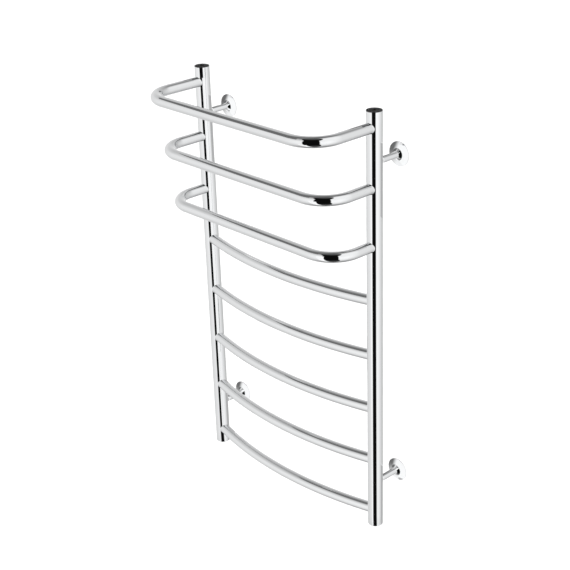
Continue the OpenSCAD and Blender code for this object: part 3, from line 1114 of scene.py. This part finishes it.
# roof flag: a glowing dark card that only reflections show, a painted dark reflection along the tops of the shelf rungs
roof_reflection_glow = flag_cloth("black_flag_cloth", FLAG_DARK, FLAG_DARK, ((0.0, 1.0), (0.0, 1.0)))
ROOF_EDGES = [[(-950, -850, 1000), (0, -850, 1000)], [(-950, -150, 1000), (0, -150, 1000)]]
flag("roof_flag", ROOF_EDGES, roof_reflection_glow)

WHITE_LINE = [(174, -494), (275, -361)]
WHITE_LOW, WHITE_HIGH = -760, 290
# white flag and shields: glowing white cards that only reflections show, a painted reflection that narrows the left
# post's black stripe and covers the post's mirror image on the rosettes
white_reflection_glow = flag_cloth("white_flag_cloth", 248, 250, ((0.0, 1.0), (0.0, 1.0)))
flag("white_flag", upright(WHITE_LINE, WHITE_LOW, WHITE_HIGH), white_reflection_glow)

# near each rosette, in plan from the middle of its bracket and in height from the bracket's axis
SIDE_LINE = [(-34, 12), (-48, -15), (-46, -38), (-30, -50)]
SHIELD_LINE = [(-30, -50), (34, -50)]
BACKING_LINE = [(-30, -52), (34, -52)]
SIDE_LOW, SIDE_HIGH, SHIELD_HIGH = -115, 75, 36
# beside each rosette: a glowing card whose dark part is painted shade on the rosette's upper left, seen only in its
# reflection; the grey backing is a painted reflection too
rosette_shade_reflection_glow = flag_cloth("grey_flag_cloth", 105, 240, ((0.45, 1.0), (0.36, 0.72)))
backing_painted_reflection = flag_cloth("backing_painted_reflection", 160, 175, ((0.0, 1.0), (0.0, 1.0)))
CARDS = {
    "side_flag": (SIDE_LINE, SIDE_HIGH, rosette_shade_reflection_glow),
    "shield": (SHIELD_LINE, SHIELD_HIGH, white_reflection_glow),
    "backing": (BACKING_LINE, SHIELD_HIGH, backing_painted_reflection),
}
for level, rise in LEVELS.items():
    for side, way in SIDES.items():
        for kind, (line, top, cloth) in CARDS.items():
            plan, axis_z = np.array(line) + (way * HALF_SPACING, 0), rise * BRACKET_Z
            flag(f"{kind}_{level}_{side}", upright(plan, axis_z + SIDE_LOW, axis_z + top), cloth)

# behind the top of each post, in plan from the post's middle
TOP_LINE = [(-66, 6), (-24, 56)]
TOP_LOW, TOP_HIGH = 1, 32
# behind each post top: a glowing dark card that only reflections show, painted shade that keeps the black plug dark
plug_shade_reflection_glow = flag_cloth("top_flag_cloth", 30, 110, ((0.35, 1.0), (0.0, 1.0)))
for side, way in SIDES.items():
    plan = np.array(TOP_LINE) + (way * HALF_SPACING, POST_Y)
    flag(f"top_flag_{side}", upright(plan, VENT_TOP + TOP_LOW, VENT_TOP + TOP_HIGH), plug_shade_reflection_glow)
print("flags:", 2 + len(CARDS) * len(LEVELS) * len(SIDES) + len(SIDES))

# %% [markdown]
# ## Floor and key light
#
# The rack hangs, so the floor is a plain pale sheet well below it, wide enough to fill the view. It lights up
# nearly white under one broad, soft lamp. Neither shows in the polished tubes, because the tent's own lower
# half is what they mirror.

# %% Floor and key light
FLOOR_Z = -1150.0
FLOOR_R = 40000.0


def pale_floor():
    """Matt white paint on a level sheet, with the faintest mottling."""
    material, tree = new_material("matt_white_floor_paint")
    place_on = add(tree, "ShaderNodeTexCoord").outputs["Object"]
    mottle = add(tree, "ShaderNodeTexNoise", Vector=place_on, Scale=2.0, Detail=3.0)
    tone = add(
        tree,
        "ShaderNodeMix",
        {"data_type": "RGBA"},
        Factor=mottle.outputs["Fac"],
        in6=colour("#F7F7F7"),
        in7=colour("#F4F4F4"),
    )
    paint = add(tree, "ShaderNodeBsdfPrincipled", Base_Color=tone.outputs[2], Roughness=0.9)
    add(tree, "ShaderNodeOutputMaterial", Surface=paint.outputs["BSDF"])
    return material


circle = np.arange(96) / 96 * TURN
edge = np.column_stack([np.cos(circle), np.sin(circle), np.zeros(96)]) * FLOOR_R + (0, 0, FLOOR_Z)
floor_mesh = bpy.data.meshes.new("floor")
floor_mesh.from_pydata((edge * MM).tolist(), [], [list(range(96))])
floor_mesh.materials.append(pale_floor())
floor = bpy.data.objects.new("floor", floor_mesh)
bpy.context.scene.collection.objects.link(floor)
floor.visible_glossy = False

lamp = bpy.data.lights.new("broad_key", "SUN")
lamp.energy = 2.7
lamp.angle = math.radians(60)
key = bpy.data.objects.new("broad_key", lamp)
bpy.context.scene.collection.objects.link(key)
key.rotation_euler = (math.radians(25), math.radians(-15), 0)
key.visible_glossy = False
print("floor", FLOOR_Z, "mm below the middle of the rack")

# %% [markdown]
# ## Camera
#
# The camera stands to the right of the rack, above it, and looks down at it with a long lens, so that the
# far post is only a little smaller than the near one. Its place is given by two angles, a distance and the
# point it looks at.

# %% Camera
LOOK_AT = np.array([-12.23, -70.0, 20.67])
TO_RIGHT, TO_TOP, TILT = math.radians(47.59), math.radians(24.144), math.radians(-1.935)
DISTANCE = 2767.9
LENS = 81.98

back = np.array(
    [math.sin(TO_RIGHT) * math.cos(TO_TOP), -math.cos(TO_RIGHT) * math.cos(TO_TOP), math.sin(TO_TOP)]
)
level = np.array([math.cos(TO_RIGHT), math.sin(TO_RIGHT), 0.0])
steep = np.cross(back, level)
right_hand = level * math.cos(TILT) + steep * math.sin(TILT)
upward = steep * math.cos(TILT) - level * math.sin(TILT)

camera = bpy.data.cameras.new("camera")
camera.lens, camera.sensor_width = LENS, 36.0
camera.clip_start, camera.clip_end = 0.05, 200.0
eye = bpy.data.objects.new("camera", camera)
bpy.context.scene.collection.objects.link(eye)
matrix = np.eye(4)
matrix[:3, 0], matrix[:3, 1], matrix[:3, 2] = right_hand, upward, back
matrix[:3, 3] = (LOOK_AT + back * DISTANCE) * MM
eye.matrix_world = matrix.T.tolist()
bpy.context.scene.camera = eye
bpy.context.scene.view_settings.view_transform = "Standard"
print("camera at", np.round(matrix[:3, 3], 3).tolist())
